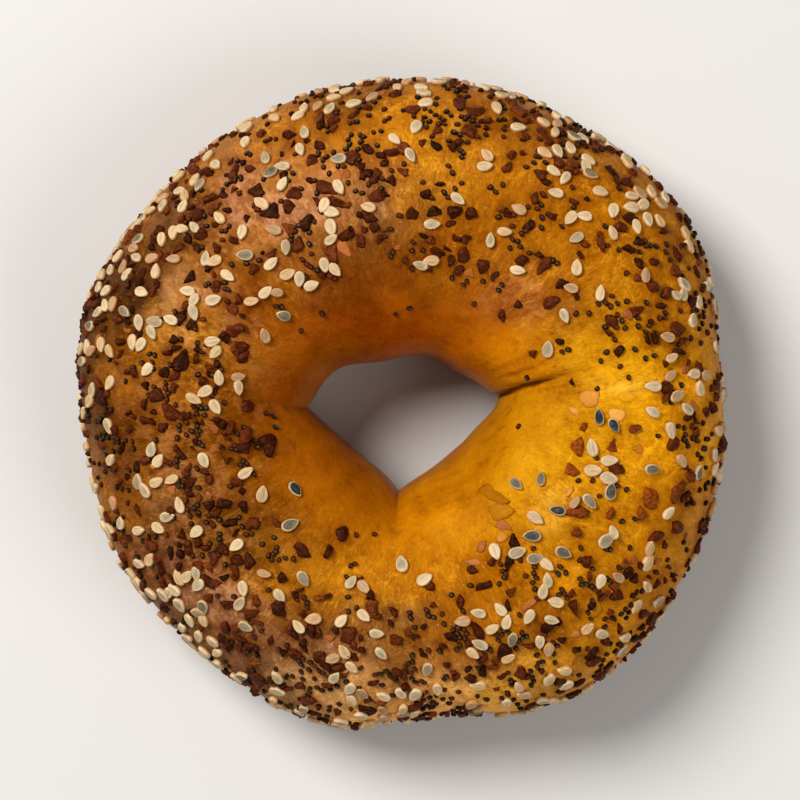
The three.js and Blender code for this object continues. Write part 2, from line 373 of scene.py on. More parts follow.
crust = {
    "rows": 216,
    "columns": 448,
    "rowShift": (0.075, 0.02, 0.25),  # how much closer the rows are on top, where, and where row 0 lies
    "ground": (0.34, 0.118, 0.002),
    "underside": (0.36, 0.16, 0.035),
    "undersideEnds": (1, 9),  # heights between which its colour fades
    "tintsStart": (4, 14),  # heights between which the tints gain their strength
    "warp": (3.5, 9),  # how far the edges of the tints wander, and the size of that noise
    # places with their own colour, or with painted shade or light as marked: middle x, y, radius along and
    # across, direction, strength, colour. The pinkish ones, with more blue, are partly a duller skin and
    # partly a painted sheen
    "tints": (
        # wall and slopes of the hole: the dark red above and to the left of it is partly browner crust and
        # partly painted shade on the wall turned from the light
        (-2, 12, 18, 6, 0, 0.9, (0.39, 0.083, 0.001)),
        (-8, 17, 15, 5, 5, 0.95, (0.155, 0.033, 0.001)),
        (-20, 4, 7, 11, 0, 0.9, (0.3, 0.064, 0.001)),
        (17, 8, 14, 5, -15, 0.8, (0.43, 0.125, 0.001)),
        (-13, -16, 12, 9, -45, 0.8, (0.31, 0.09, 0.001)),
        (7, -20, 15, 9, 0, 0.85, (0.52, 0.2, 0.002)),
        (24, -14, 12, 10, 45, 0.85, (0.56, 0.255, 0.003)),
        # right
        (37, 0, 15, 12, 0, 0.95, (0.72, 0.36, 0.006)),
        (48, -6, 8, 16, 0, 0.8, (0.74, 0.32, 0.003)),
        # the next two: pale yellow flushes, partly paler skin and partly painted highlight
        (25, -18, 4, 4, 0, 0.5, (0.84, 0.46, 0.07)),
        (37, 2, 5, 2, -10, 0.5, (0.9, 0.52, 0.07)),
        (25, -8, 5, 4, 0, 0.3, (0.5, 0.23, 0.003)),
        (41, -24, 9, 9, -30, 0.8, (0.56, 0.23, 0.003)),
        # above the hole and to the upper right
        # painted shade on the slope above the hole
        (-10, 25, 13, 6, 15, 0.8, (0.17, 0.048, 0.008)),
        (-2, 41, 17, 8, 0, 0.85, (0.6, 0.245, 0.01)),
        (9, 27, 6, 5, 0, 0.6, (0.52, 0.18, 0.005)),
        (10, 42, 6, 5, 0, 0.8, (0.42, 0.165, 0.012)),
        (-9, 52, 6, 5, 0, 0.75, (0.17, 0.06, 0.01)),
        (-5, 34, 7, 5, 0, 0.7, (0.27, 0.135, 0.07)),
        (18, 17, 7, 5, 0, 0.75, (0.29, 0.083, 0.02)),
        (26, 31, 11, 7, -30, 0.6, (0.43, 0.155, 0.003)),
        (41, 29, 8, 10, 0, 0.7, (0.58, 0.24, 0.006)),
        (48, 17, 5, 6, 0, 0.4, (0.6, 0.25, 0.01)),
        (22, 42, 8, 6, 0, 0.4, (0.56, 0.24, 0.025)),
        # upper left
        (-27, 42, 7, 5, 30, 0.65, (0.27, 0.1, 0.02)),
        (-20, 33, 10, 6, 25, 0.9, (0.53, 0.25, 0.11)),
        (-34, 15, 6, 6, 0, 0.85, (0.6, 0.29, 0.1)),
        # left
        (-32, 10, 11, 3, -20, 0.7, (0.56, 0.24, 0.02)),
        (-43, 18, 8, 8, 0, 0.95, (0.075, 0.026, 0.008)),
        (-36, 28, 8, 7, 40, 0.9, (0.13, 0.05, 0.02)),
        (-27, 1, 6, 12, 0, 0.75, (0.19, 0.058, 0.002)),
        (-51, 8, 8, 20, 0, 0.95, (0.05, 0.014, 0.003)),
        (-42, 31, 8, 8, 45, 0.75, (0.12, 0.042, 0.008)),
        (-40, -11, 8, 13, 0, 0.8, (0.17, 0.056, 0.008)),
        (-42, 1, 6, 4, 0, 0.6, (0.38, 0.145, 0.018)),
        (-35, -15, 5, 7, 0, 0.45, (0.36, 0.17, 0.07)),
        # lower left
        (-26, -22, 9, 7, 0, 0.8, (0.115, 0.036, 0.003)),
        (-11, -29, 9, 5, -20, 0.7, (0.56, 0.23, 0.006)),
        (-38, -28, 9, 8, -45, 0.85, (0.1, 0.038, 0.016)),
        (-29, -33, 11, 4, -40, 0.8, (0.36, 0.165, 0.08)),
        (-22, -46, 14, 7, -25, 0.85, (0.135, 0.064, 0.042)),
        # bottom and lower right
        (-8, -42, 8, 5, 0, 0.9, (0.125, 0.058, 0.036)),
        (-1, -35, 6, 4, 0, 0.85, (0.23, 0.1, 0.032)),
        (12, -33, 7, 4, 0, 0.6, (0.52, 0.21, 0.01)),
        (9, -42, 13, 5, 0, 0.65, (0.29, 0.095, 0.006)),
        (38, -36, 8, 7, 45, 0.9, (0.76, 0.33, 0.005)),
        (27, -35, 5, 5, 0, 0.8, (0.3, 0.1, 0.004)),
        # bright amber, partly golden skin and partly painted light on a slope turned from the light
        (34, -34, 5, 5, 0, 0.9, (0.8, 0.36, 0.006)),
        # pale yellow band along the bottom rim, partly paler skin and partly painted light on a side turned
        # from the light
        (0, -53, 22, 8, 3, 1, (0.97, 0.54, 0.17)),
        (22, -48, 10, 5, 25, 0.85, (0.85, 0.43, 0.04)),
    ),
    "stainAndShade": (0.6, 2),  # strength and reach of the darkening round each onion flake, partly browning and partly painted shade
    "frostAndSheenStarts": (10, 20),  # heights between which the duller patches and their painted sheen gain their strength
    "glossEnds": (0.15, 0.4),  # shares across the ring between which the shine of the hole's wall ends
    # where a dull pinkish bloom lies in patches, partly a duller skin and partly a painted sheen: middle x,
    # y, radius along x and y, strength
    "frostAndSheenPatches": (
        (-34, 1, 11, 24, 1), (-26, 29, 14, 11, 0.95), (-32, -29, 13, 12, 1),
        (-15, -43, 9, 6, 0.6), (-4, 34, 8, 5, 0.6), (21, 17, 8, 5, 0.7),
    ),
}


def bell(u, v):
    # 1 in the middle, and next to nothing from two radii out
    return np.exp(-(u * u + v * v))


def tintedCrust(point):
    # The golden ground, blended towards each tint by a bell round its middle, on the upper side only
    x, y, z = np.moveaxis(point, -1, 0)
    colour = np.ones(point.shape) * crust["ground"]
    far, size = crust["warp"]
    warp = far * layeredNoise(point, size, 3, 31)
    for middleX, middleY, long, wide, direction, strength, tint in crust["tints"]:
        angle = np.radians(direction)
        u = ((x - middleX) * np.cos(angle) + (y - middleY) * np.sin(angle) + warp) / long
        v = (-(x - middleX) * np.sin(angle) + (y - middleY) * np.cos(angle) - warp) / wide
        weight = strength * bell(u, v) * smoothStep(z, *crust["tintsStart"])
        colour = colour + (np.array(tint) - colour) * weight[..., None]
    below = 1 - smoothStep(z, *crust["undersideEnds"])
    return colour + (np.array(crust["underside"]) - colour) * below[..., None]


def crowding(point, places, reach):
    # Sum of a bell round each place, worked out in blocks of points to spare memory
    blockSize = 8000
    blocks = [point[start:start + blockSize] for start in range(0, len(point), blockSize)]
    gaps = (((block[:, None] - places[None]) ** 2).sum(axis=-1) for block in blocks)
    return np.concatenate([np.exp(-gap / reach ** 2).sum(axis=1) for gap in gaps])


def makeCrust(flakes):
    # Rows over the section, closer together on the visible top, and columns round the hole
    even = np.arange(crust["rows"]) / crust["rows"]
    closer, at, start = crust["rowShift"]
    over = (turn * (even - closer * np.sin(turn * (even - at))) - start)[::-1]
    around = turn * np.arange(crust["columns"]) / crust["columns"]
    over, around = np.meshgrid(over, around, indexing="ij")
    point, _, _, across = crustFrame(around, over % turn)
    x, y, z = np.moveaxis(point, -1, 0)
    colour = tintedCrust(point)
    # patches of duller skin with a painted sheen
    frostAndSheen = np.max([
        strength * bell((x - middleX) / radiusX, (y - middleY) / radiusY)
        for middleX, middleY, radiusX, radiusY, strength in crust["frostAndSheenPatches"]], axis=0)
    strength, reach = crust["stainAndShade"]
    attributes = {
        # the tinted colour, with the painted shade and light that some tints hold
        "bakeAndLight": np.concatenate([colour, np.ones((*across.shape, 1))], axis=-1),
        "streak": np.stack([40 * np.cos(around), 40 * np.sin(around), 10 * over], axis=-1),
        "gloss": 1 - smoothStep(across, *crust["glossEnds"]),
        # how pinkish the colour is: partly a duller skin, partly a painted sheen
        "bloomAndSheen": np.clip((colour[..., 2] - 0.02) / 0.07, 0, 1),
        "frostAndSheen": frostAndSheen * smoothStep(z, *crust["frostAndSheenStarts"]),
        # darkening round the onion flakes, partly browning and partly painted shade
        "stainAndShade": np.minimum(strength * crowding(point.reshape(-1, 3), flakes["point"], reach), 1),
    }
    faces = closedGrid(crust["rows"], crust["columns"])
    return pieceFromArrays("crust", point.reshape(-1, 3), [faces], attributes)


# Where the toppings lie

cover = {
    "lowest": 1.22 * np.pi,  # how far over the section the toppings reach, from the wall of the hole
    "footprint": 0.4,  # radius of the room a topping takes, as a share of its length
    "closeness": 0.66,  # share of their two radii that toppings keep apart
    "patchiness": 0.7,
    "largestArea": 3000,  # skin for one radian round and one over, from which a draw is always kept
    # share of full cover from the bare wall (0) to the rim (1) and down the side (1.5)
    "onion": ((0.2, 0), (0.34, 0.6), (0.55, 1), (0.8, 0.95), (1, 0.5), (1.5, 0.3)),
    "sesame": ((0.2, 0), (0.34, 0.6), (0.55, 1), (0.8, 0.95), (1, 0.6), (1.5, 0.3)),
    "poppy": ((0.12, 0), (0.3, 0.25), (0.5, 0.8), (0.8, 0.95), (1, 0.45), (1.5, 0.2)),
    "garlic": ((0.24, 0), (0.4, 0.8), (0.8, 1), (1.1, 0.9), (1.5, 0.4)),
    # places with more or less: x, y, radius, factor for onion and garlic, sesame, poppy
    "patches": (
        (12, -17, 12, 0.04, 0.03, 0.12), (34, 5, 9, 0.12, 0.15, 0.1), (-17, -17, 7, 0.3, 0.05, 0.3),
        (13, 36, 8, 0.15, 0.35, 0.15), (0, 45, 6, 0.4, 0.4, 0.5), (17, 44, 5, 2, 1, 2),
        (34, 34, 6, 0.4, 4, 0.4), (27, 26, 6, 0.3, 1.2, 0.7), (-46, 19, 9, 2.6, 2.6, 0.4),
        (-34, 16, 6, 0.4, 3, 0.4), (-40, 32, 8, 0.8, 2.6, 0.6), (-30, 26, 8, 2.6, 1, 0.6),
        (-26, 34, 6, 0.7, 2.5, 1), (-17, 17, 6, 1, 2.5, 1), (-38, -1, 8, 4, 0.8, 1.8),
        (-27, 1, 5, 1, 4, 1), (-51, -10, 9, 0.35, 0.4, 0.6), (-26, -17, 6, 3, 0.4, 2),
        (-35, -26, 8, 3, 2, 1), (-21, -41, 10, 3.2, 1, 1.8), (-36, -40, 7, 0.5, 3.5, 0.7),
        (-26, -52, 6, 0.3, 2, 0.7), (-8, -51, 8, 0.9, 3, 0.8), (8, -44, 10, 1.6, 0.8, 1.6),
        (-12, -34, 7, 1, 0.15, 1), (17, -34, 6, 0.4, 1.5, 0.4), (28, -37, 7, 1, 0.25, 1),
        (26, -43, 5, 1, 3, 0.8), (17, -51, 7, 0.3, 2.6, 0.2), (42, -33, 6, 1.4, 3, 1),
        (33, -12, 6, 2.2, 1.6, 0.4), (29, 43, 10, 1.2, 1.5, 1.2), (50, 12, 8, 0.6, 1, 0.6),
        (-8, 50, 8, 1.5, 1.6, 1.5), (9, 25, 8, 1.6, 0.8, 0.6), (-9, 34, 7, 1.7, 1, 1.5),
        (25, 13, 6, 1, 0.3, 1), (-4, -53, 7, 0.5, 1, 0.4), (-10, 39, 9, 1, 1, 3),
        (3, 49, 11, 1, 1, 3), (-35, -4, 9, 1, 1, 2.5), (8, -47, 11, 1, 1, 4),
        (48, 12, 10, 1, 1, 1.8), (-14, 20, 10, 1, 1, 1.6), (20, -40, 8, 1, 1, 1.8),
    ),
    "clumpSize": 5,  # of the poppy seeds
    "underHand": 0.06,  # share left in the zones where the listed toppings lie
}


def seededDraws(seed, count):
    # Mulberry32, the generator behind the solid's random draws, without its first number
    mask = np.uint64(fullWord)
    state = (np.uint64(seed) + np.arange(2, count + 2, dtype=np.uint64) * np.uint64(0x6D2B79F5)) & mask
    t = ((state ^ (state >> np.uint64(15))) * (state | np.uint64(1))) & mask
    t ^= (t + (((t ^ (t >> np.uint64(7))) * (t | np.uint64(61))) & mask)) & mask
    return ((t ^ (t >> np.uint64(14))) & mask) / 2 ** 32


def drawAgain(shade, factor):
    # Another random number from 0 to 1 out of the first
    return (shade * factor) % 1


def unevenness(point):
    # From -1, where few toppings fell, to 1, in spots some 10 mm apart
    x, y = point[:, 0], point[:, 1]
    return np.sin(0.62 * x + 1.3 * np.sin(0.31 * y)) * np.sin(0.57 * y + 1.1 * np.sin(0.37 * x + 2))


def scatter(name, kind, column, laid):
    # Candidates in the order they are drawn: kept by cover and area, and dropped if too close to another
    draws = seededDraws(kind["seed"], 6 * kind["tries"]).reshape(-1, 6)
    around, over = turn * draws[:, 0], cover["lowest"] * draws[:, 1]
    point, normal, overwards, across, area = doughFrame(around, over)
    x, y, _ = point.T
    down = 0.5 * np.maximum(0, over - np.pi) / (cover["lowest"] - np.pi)
    shares, density = np.array(cover[name]).T
    density = np.interp(np.where(down > 0, 1 + down, across), shares, density)
    density = density * (1 + cover["patchiness"] * unevenness(point))
    for middleX, middleY, radius, *factors in cover["patches"]:
        change = factors[column] - 1
        density = density * (1 + change * bell((x - middleX) / radius, (y - middleY) / radius))
    if name == "poppy":
        clumps = layeredNoise(point, cover["clumpSize"], 2, 77)
        density = density * (0.15 + 2.2 * smoothStep(clumps, 0, 0.5))
    else:
        for middleX, middleY, radiusX, radiusY in placed["zones"]:
            inside = ((x - middleX) / radiusX) ** 2 + ((y - middleY) / radiusY) ** 2 < 1
            density = np.where(inside, cover["underHand"] * density, density)
    chosen, lengths = [], []
    for candidate in np.flatnonzero(draws[:, 2] <= density * area / cover["largestArea"]):
        if len(chosen) == kind["wanted"]:
            break
        size = np.clip(0.7 * np.sqrt(len(chosen) / kind["wanted"]) + 0.3 * draws[candidate, 4], 0, 1)
        length = kind["largest"] + (kind["smallest"] - kind["largest"]) * size
        radius = cover["footprint"] * length
        if laid:
            others = np.array(laid)
            gaps = np.linalg.norm(others[:, :3] - point[candidate], axis=1)
            if np.any(gaps <= cover["closeness"] * (radius + others[:, 3])):
                continue
        chosen.append(candidate)
        lengths.append(length)
        laid.append((*point[candidate], radius))
    print(name, len(chosen), "laid,", int((over[chosen] < np.pi).sum()), "of them seen from above")
    shade = draws[chosen, 5]
    low, high = kind["tones"]
    return {
        "point": crustFrame(around[chosen], over[chosen])[0], "normal": normal[chosen],
        "overwards": overwards[chosen], "spin": turn * draws[chosen, 3], "length": np.array(lengths),
        "shade": shade, "tone": low + (high - low) * shade,
    }


def layOn(toppings, local, lift):
    # Turns each topping's own points (n, m, 3) by its spin and stands them on the crust's normal
    cosine, sine = np.cos(toppings["spin"])[:, None], np.sin(toppings["spin"])[:, None]
    x = local[..., 0] * cosine - local[..., 1] * sine
    y = local[..., 0] * sine + local[..., 1] * cosine
    z = local[..., 2] + lift
    sideways = np.cross(toppings["normal"], toppings["overwards"])
    axes = (toppings["overwards"], sideways, toppings["normal"])
    return toppings["point"][:, None] + sum(
        part[..., None] * axis[:, None] for part, axis in zip((x, y, z), axes))


def domeFaces(count, rows, columns):
    # Rings of points between a top pole (first) and a bottom pole (last), repeated for each topping
    ring = 1 + np.arange(columns)
    following = 1 + (np.arange(columns) + 1) % columns
    last = rows * columns + 1
    low = (rows - 1) * columns
    caps = np.concatenate([
        np.stack([np.zeros(columns, int), ring, following], axis=1),
        np.stack([np.full(columns, last), following + low, ring + low], axis=1)])
    sides = np.concatenate([
        np.stack([ring, ring + columns, following + columns, following], axis=1) + row * columns
        for row in range(rows - 1)])
    offsets = (np.arange(count) * (last + 1))[:, None, None]
    return (sides[None] + offsets).reshape(-1, 4), (caps[None] + offsets).reshape(-1, 3)


def domePoints(x, y, z, top, bottom):
    # Puts a top and a bottom pole round rings given as (n, rows, columns)
    count = len(x)
    rings = np.stack([x, y, z], axis=-1).reshape(count, -1, 3)
    poles = np.zeros((2, count, 1, 3))
    poles[0, :, 0, 2] = top
    poles[1, :, 0, 2] = bottom
    return np.concatenate([poles[0], rings, poles[1]], axis=1)


def ringed(size, share, outline):
    # Each ring's share of an outline, at each topping's size, as (n, rows, columns)
    return size[:, None, None] * share[None, :, None] * outline


def layPiece(name, toppings, local, lift, columns, shared, own, whole=()):
    # All toppings as one piece. An attribute is shared (its values at the top, on the rings and at the
    # bottom of each), one value of each topping's own, or whole
    count, each = local.shape[:2]
    attributes = {label: np.repeat(values, each) for label, values in own.items()}
    for label, (top, rings, bottom) in shared.items():
        attributes[label] = np.tile(np.concatenate([[top], np.repeat(rings, columns), [bottom]]), count)
    attributes.update(whole)
    faces = domeFaces(count, (each - 2) // columns, columns)
    return pieceFromArrays(name, layOn(toppings, local, lift).reshape(-1, 3), faces, attributes)


# Toppings that stand out, each where the photo shows it: x, y, direction of the tip in degrees, length, and
# how dark its heart is for a seed, or its shade from dark to light for a flake
placed = {
    "sesame": (
        (33.9, -2.8, 95, 3, 1), (36.4, -4.3, -60, 2.8, 1), (32.7, -8.1, 100, 3.2, 0.1),
        (35.6, -10.3, 5, 3.1, 0.1), (32.8, -12, 0, 3.2, 0), (35.5, -13.3, -10, 3.3, 0),
        (35.7, -15.5, 80, 3.1, 0.9), (42.8, -11.7, 0, 2.8, 0.75), (24.1, -13.5, 85, 2.6, 0.75),
        (20, -14.5, -40, 2.8, 0.75), (32.2, -17.3, -50, 3.1, 0.65), (26.8, -18.8, 170, 3, 1),
        (23.1, -20.1, -35, 3.2, 0.15), (22.5, -23.1, 180, 3.2, 0.9), (20, -25.9, 20, 3.2, 0.45),
        (23, -26.9, 10, 3, 0.55), (27.8, -25.9, -25, 3, 0.8), (35, -23.8, 40, 3.3, 0.45),
        (16.3, -25.8, -70, 3, 0), (46.9, 0.7, 25, 3.2, 0.3), (42.9, 2.3, 180, 3.2, 0),
        (45.8, -5.2, -75, 3.1, 0.1), (45.3, -19, 45, 2.8, 0), (41.9, -27.5, 70, 3.4, 0),
        (-17.9, -15.3, -55, 3, 1), (-18.7, -21.3, 25, 3.2, 0.8), (-16.5, -30.3, -60, 3, 0.5),
        (-23.5, -16, 80, 3, 0.2), (0.4, -28, 100, 3.2, 0), (4.2, -30.5, 30, 3, 0),
        (25.2, 8.7, 80, 3, 0.3),
    ),
    "onion": (
        (30.2, -7.7, 65, 3.8, 0.96), (36, -7.9, 50, 3.2, 0.92), (31.3, -4.5, 40, 2.2, 0.92),
        (40, -4.8, 30, 2.6, 0.84), (29.2, -12, 10, 3.3, 0.95), (36.8, -11.9, 0, 3.6, 0.6),
        (30.2, -19.1, 0, 3.8, 0.9), (35.8, -19.3, 80, 2.5, 0.9), (42.8, -16.7, 90, 4.4, 0.94),
        (46.5, -16, 60, 4.6, 0.8), (41.1, -19.4, 95, 3.1, 0.9), (46.9, -21.7, -20, 3.5, 0.6),
        (43.4, -23.1, 20, 3.5, 0.6), (29.9, -22.5, 0, 2.3, 0.86), (31.7, -27.5, 20, 2.9, 0.5),
        (19.3, -23.9, 60, 2.6, 0.1), (38.8, -29.3, 40, 3.4, 0.05), (14, -31.6, 30, 3.2, 0.25),
        (-9.9, -23, 75, 3.4, 0.15), (-12.4, -26, 60, 2.9, 0.2), (-16.8, -25.6, -35, 3.4, 0.3),
        (-22.4, -7.6, 80, 4.8, 0.2), (5, -31.5, 90, 2.4, 0.5), (-28, 12, 60, 3.2, 0.75),
    ),
    "garlic": (
        (32.2, 0.1, 30, 4.2, 0.6), (36.6, -2.4, -45, 3.2, 0.75), (29.5, -1.8, 0, 2.3, 0.8),
        (28.9, -15.6, 70, 2.2, 0.6), (15.9, -16.2, -35, 5.6, 0), (17.4, -19, 5, 5, 0.15),
        (17.5, -21.3, -20, 3.2, 0.92), (17.3, -23.2, 15, 3.2, 0.5), (12.9, -27.6, 10, 3.2, 0.88),
        (33.2, -35.7, 60, 3.8, 0.2), (21.9, -34.7, 40, 3, 0.9), (40.5, -8.4, 0, 1.8, 0.4),
    ),
    "zones": ((31, -14, 15, 14), (3, -26, 10, 7), (-15, -20, 8, 9)),  # kept free of others: x, y, two radii
}


def holeOffset(x, y):
    # From the middle of the hole
    return x - dough["holeMiddle"][0], y - dough["holeMiddle"][1]


def overAt(around, radius):
    # Halves the section again and again to find where its top is that far from the middle of the hole
    low, high = np.zeros_like(around), np.full_like(around, np.pi)
    for _ in range(30):
        middle = (low + high) / 2
        point = doughPoint(around, middle)[0]
        reached = np.hypot(*holeOffset(point[:, 0], point[:, 1]))
        low, high = np.where(reached < radius, middle, low), np.where(reached < radius, high, middle)
    return low


def placeByHand(name, laid):
    # A place nearer to the camera than the widest part looks further out in the photo than it is, so it is
    # drawn in by its height, and its height is found again
    x, y, direction, length, tone = np.array(placed[name]).T
    closer = np.ones_like(x)
    for _ in range(3):
        offsetX, offsetY = holeOffset(x * closer, y * closer)
        around = np.arctan2(offsetY, offsetX)
        over = overAt(around, np.hypot(offsetX, offsetY))
        height = doughPoint(around, over)[0][:, 2]
        closer = 1 - (height - photo["widestMm"]) / cameraDistance()
    point, normal, overwards = crustFrame(around, over)[:3]
    laid += [(*p, cover["footprint"] * size) for p, size in zip(point, length)]
    spread = (np.arange(len(x)) * 0.618) % 0.84  # even shades, short of the toasted end
    return {
        "point": point, "normal": normal, "overwards": overwards, "spin": np.radians(direction) - around,
        "length": length, "shade": spread if name == "sesame" else tone, "tone": tone,
    }


def joined(first, second):
    # The second's toppings after the first's
    return {key: np.concatenate([first[key], second[key]]) for key in first}


# Sesame seeds

sesame = {
    "seed": 23, "wanted": 560, "tries": 60000, "largest": 3.15, "smallest": 2.55,
    "tones": (0, 1), "columns": 14,
    # rings from the middle of the face to the underside: share of the outline, height in mm
    "rings": ((0.42, 0.35), (0.7, 0.33), (0.86, 0.42), (1, 0.12), (0.92, -0.42)),
    "middle": 0.37,
    "dome": (0.14, 0.08, 0, 0, 0),  # how much higher each ring is on the plumpest seeds
    "underside": -0.55,
    "width": 0.63,  # as a share of the length
    "lift": 0.36,  # how far the middle of each seed is over the crust
}


def makeSesame(laid):
    # A tear outline, sin(a) * sin(a / 2) ** 0.5, carried through rings of a flat face with a raised edge
    byHand, strewn = placeByHand("sesame", laid), scatter("sesame", sesame, 1, laid)
    seeds = joined(byHand, strewn)
    shade, length = seeds["shade"], seeds["length"]
    angle = turn * np.arange(sesame["columns"]) / sesame["columns"]
    share, height = np.array(sesame["rings"]).T
    plump = 0.88 + 0.3 * drawAgain(shade, 7.3)
    width = length * sesame["width"] * (0.9 + 0.2 * drawAgain(shade, 13.7))
    x = ringed(0.5 * length, share, np.cos(angle))
    y = ringed(0.5 * width, share, np.sin(angle) * (0.05 + np.abs(np.sin(angle / 2)) ** 0.5)) * 1.08
    bend = 0.05 * np.sin(40 * shade)[:, None, None] * x ** 2
    domed = drawAgain(shade, 5.1)
    z = ringed(plump, height, 1) + ringed(domed, np.array(sesame["dome"]), 1) + bend
    local = domePoints(x, y, z, sesame["middle"] * plump + 0.16 * domed, sesame["underside"])
    fibre = local * (0.4, 3, 0.4)  # stretched along each seed, and another pattern on every one
    fibre[..., 2] += 40 * shade[:, None]
    strays = 5 * (drawAgain(strewn["shade"], 17.9) - 0.9)  # the few seeds with a dark heart
    dark = np.concatenate([byHand["tone"], np.where(strays > 0, 0.3 + strays, 0)])
    return layPiece(
        "sesameSeeds", seeds, local, sesame["lift"], sesame["columns"], {"heart": (1, 1 - share, 0)},
        {"shade": shade, "dark": dark}, {"fibre": fibre})


# Poppy seeds

poppy = {
    "seed": 37, "wanted": 1150, "tries": 40000, "largest": 1.28, "smallest": 0.95,
    "tones": (0, 1), "columns": 8,
    # rings: share of the outline, height as a share of the length
    "rings": ((0.5, 0.36), (0.88, 0.2), (1, -0.05), (0.7, -0.36)),
    "lift": 0.16,
}


def makePoppy(laid):
    # A bean: an ellipse with one side drawn in, rounded above and below, with a dimple on top
    seeds = scatter("poppy", poppy, 2, laid)
    length = seeds["length"]
    angle = turn * np.arange(poppy["columns"]) / poppy["columns"]
    outline = 1 - 0.22 * np.exp(-((angle - np.pi / 2) / 0.6) ** 2)
    share, height = np.array(poppy["rings"]).T
    x = ringed(0.5 * length, share, outline * np.cos(angle))
    y = ringed(0.42 * length, share, outline * np.sin(angle))
    z = ringed(length, height, np.ones_like(angle))
    local = domePoints(x, y, z, 0.3 * length, -0.42 * length)
    # spot is 1 at the top of each seed, where the finish paints a paler top, partly paler husk and partly
    # painted highlight
    return layPiece(
        "poppySeeds", seeds, local, poppy["lift"], poppy["columns"], {"spot": (1, 1 - share, 0)},
        {"shade": seeds["shade"]})


# Onion flakes and garlic bits

onion = {
    "seed": 11, "wanted": 820, "tries": 40000, "largest": 4.4, "smallest": 1,
    "thickness": (0.9, 1.5), "curl": 0.03, "crumple": 0.34, "lift": -0.06, "tones": (0, 0.86),
}
garlic = {
    "seed": 53, "wanted": 64, "tries": 4000, "largest": 3.4, "smallest": 1.4,
    "thickness": (0.16, 0.45), "curl": 0.01, "crumple": 0.1, "lift": 0.05, "tones": (0.85, 1),
}
chip = {
    "corners": 5, "perSide": 4,  # points of the outline from one corner to the next
    # rings: share of the outline, height as a share of the thickness
    "rings": ((0.34, 0.6), (0.66, 0.55), (0.88, 0.38), (1, 0.05), (0.98, -0.5)),
    "bulge": 0.5,  # how round the sides between two corners are
}


def makeChips(name, kind, chips):
    # A cut flake: a polygon with random corners, long or stubby, crumpled on top and curled along itself
    shade, length = chips["shade"], chips["length"]
    count = len(length)
    seedPoint = np.stack([shade * 97, chips["spin"] * 11, length * 7], axis=-1)  # where each reads its noise
    corner = np.arange(chip["corners"])[None, :]
    jitter, reach = (
        noise(seedPoint[:, None] + corner[..., None] * stride + start, 1, seed)
        for stride, start, seed in ((3.7, 0, 3), (5.3, 50, 4)))
    angle = turn * (corner + 0.75 * jitter) / chip["corners"]
    far = 0.85 + 0.35 * reach
    part = np.arange(chip["perSide"]) / chip["perSide"]
    bowed = 1 + chip["bulge"] * part * (1 - part)
    outlineX, outlineY = (
        (bowed * (c[..., None] * (1 - part) + np.roll(c, -1, axis=1)[..., None] * part)).reshape(count, 1, -1)
        for c in (far * np.cos(angle), far * np.sin(angle)))
    slender = 0.5 + 0.45 * drawAgain(shade, 9.1)
    share, height = np.array(chip["rings"]).T
    x = ringed(0.53 * length, share, outlineX)
    y = ringed(0.53 * length * slender, share, outlineY)
    thin, thick = kind["thickness"]
    thickness = thin + (thick - thin) * drawAgain(shade, 3.3)
    flat = np.stack([x, y, np.zeros_like(x)], axis=-1) + seedPoint[:, None, None] * 5
    crumple = kind["crumple"] * layeredNoise(flat, 0.9, 2, 15)
    z = ringed(thickness, height, 1) + crumple * (height[None, :, None] > 0.1) + kind["curl"] * x ** 2
    x = x + 0.18 * layeredNoise(flat, 0.7, 2, 16)
    y = y + 0.18 * layeredNoise(flat, 0.7, 2, 18)
    local = domePoints(x, y, z, 0.62 * thickness + crumple[:, 0].mean(axis=1), -0.5 * thickness)
    columns = chip["corners"] * chip["perSide"]
    return layPiece(
        name, chips, local, kind["lift"], columns, {"edge": (0, share ** 3, 1)}, {"tone": chips["tone"]})


# Finishes

def mathNode(operation, swapped=False):
    # Adds one Math node; swapped is for a number in front, as in 1 - mask
    def apply(wire, other):
        first, second = (other, wire) if swapped else (wire, other)
        return wire.finish.node("ShaderNodeMath", {"operation": operation}, {0: first, 1: second})
    return apply


class Wire:
    # A socket to write sums with
    def __init__(self, finish, socket):
        self.finish, self.socket = finish, socket

    __add__, __radd__ = mathNode("ADD"), mathNode("ADD", True)
    __sub__, __rsub__ = mathNode("SUBTRACT"), mathNode("SUBTRACT", True)
    __mul__, __rmul__ = mathNode("MULTIPLY"), mathNode("MULTIPLY", True)


